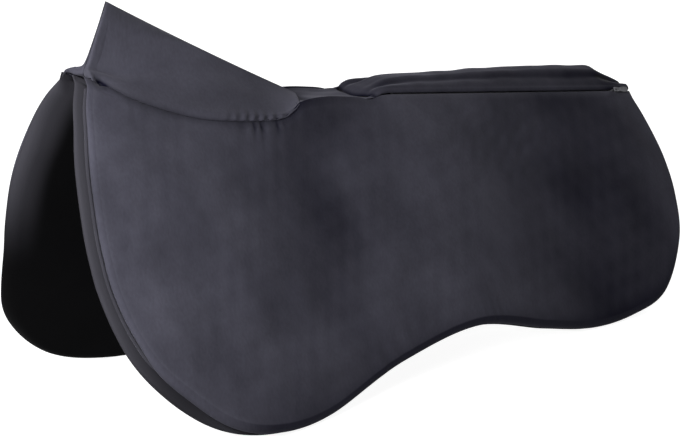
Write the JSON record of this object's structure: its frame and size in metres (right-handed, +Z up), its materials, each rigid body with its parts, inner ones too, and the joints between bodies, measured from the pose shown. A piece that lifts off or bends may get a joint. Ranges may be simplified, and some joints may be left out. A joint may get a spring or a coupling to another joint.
{
  "type": "correction saddle pad",
  "caption": "Padded half pad with a raised withers tent, hanging side flaps, a spine channel and zipped pockets for foam shims that level a saddle.",
  "frame": {"origin": "under the middle of the pad's length, on its centre plane, at the height of the floor that its four lobes stand on", "axes": "+X along the spine channel towards the horse's loins, +Z up, the horse's left (near) side at -Y"},
  "size_m": [0.6182, 0.2462, 0.3188],
  "materials": {
    "cover_fabric": "smooth brushed microfibre, anthracite",
    "lining_fabric": "matt anthracite lining cloth",
    "piping": "cloth-covered cord",
    "base_foam": "open-cell foam",
    "shim_foam": "dense sheet foam",
    "divider_cloth": "plain pocket cloth",
    "zip_tape": "woven zip tape",
    "zip_teeth": "moulded zip teeth",
    "zip_metal": "dark coated zinc"
  },
  "bodies": {
    "centre": {"withers_panel_left": "cover_fabric", "withers_panel_right": "cover_fabric", "withers_hem_left": "cover_fabric", "withers_hem_right": "cover_fabric", "withers_lining": "lining_fabric", "spine_strip": "cover_fabric", "spine_lining": "lining_fabric", "left_zip_chain": "zip_teeth", "left_zip_tape_upper": "zip_tape", "left_zip_tape_lower": "zip_tape", "left_zip_stop_front": "zip_metal", "left_zip_stop_rear": "zip_metal", "right_zip_chain": "zip_teeth", "right_zip_tape_upper": "zip_tape", "right_zip_tape_lower": "zip_tape", "right_zip_stop_front": "zip_metal", "right_zip_stop_rear": "zip_metal"},
    "left_flap": {"left_outer_cover": "cover_fabric", "left_lining": "lining_fabric", "left_base_foam": "base_foam", "left_pocket_divider": "divider_cloth", "left_shim_front": "shim_foam", "left_shim_middle": "shim_foam", "left_shim_rear": "shim_foam", "left_edge_piping": "piping"},
    "right_flap": {"right_outer_cover": "cover_fabric", "right_lining": "lining_fabric", "right_base_foam": "base_foam", "right_pocket_divider": "divider_cloth", "right_shim_front": "shim_foam", "right_shim_middle": "shim_foam", "right_shim_rear": "shim_foam", "right_edge_piping": "piping"},
    "left_slider": {"left_zip_slider": "zip_metal"},
    "right_slider": {"right_zip_slider": "zip_metal"},
    "left_pull": {"left_zip_pull": "zip_metal"},
    "right_pull": {"right_zip_pull": "zip_metal"}
  },
  "joints": [
    {"name": "left_flap_hinge", "type": "hinge", "parent": "centre", "child": "left_flap", "pos_m": [-0.2823, -0.0225, 0.2614], "axis": [-0.9896, 0, 0.1437], "range_deg": [-6, 20], "stiffness_Nm_per_rad": 15},
    {"name": "right_flap_hinge", "type": "hinge", "parent": "centre", "child": "right_flap", "pos_m": [-0.2823, 0.0225, 0.2614], "axis": [0.9896, 0, -0.1437], "range_deg": [-6, 20], "stiffness_Nm_per_rad": 15},
    {"name": "left_zip_slide", "type": "slide", "parent": "centre", "child": "left_slider", "axis": [-0.9907, -0.0046, 0.1359], "range_m": [0, 0.2609]},
    {"name": "right_zip_slide", "type": "slide", "parent": "centre", "child": "right_slider", "axis": [-0.9907, 0.0046, 0.1359], "range_m": [0, 0.2609]},
    {"name": "left_pull_hinge", "type": "hinge", "parent": "left_slider", "child": "left_pull", "pos_m": [0.27747, -0.02411, 0.18131], "axis": [-0.1128, -0.5301, -0.8404], "range_deg": [0, 150]},
    {"name": "right_pull_hinge", "type": "hinge", "parent": "right_slider", "child": "right_pull", "pos_m": [0.27747, 0.02411, 0.18131], "axis": [0.1128, -0.5301, 0.8404], "range_deg": [0, 150]}
  ]
}
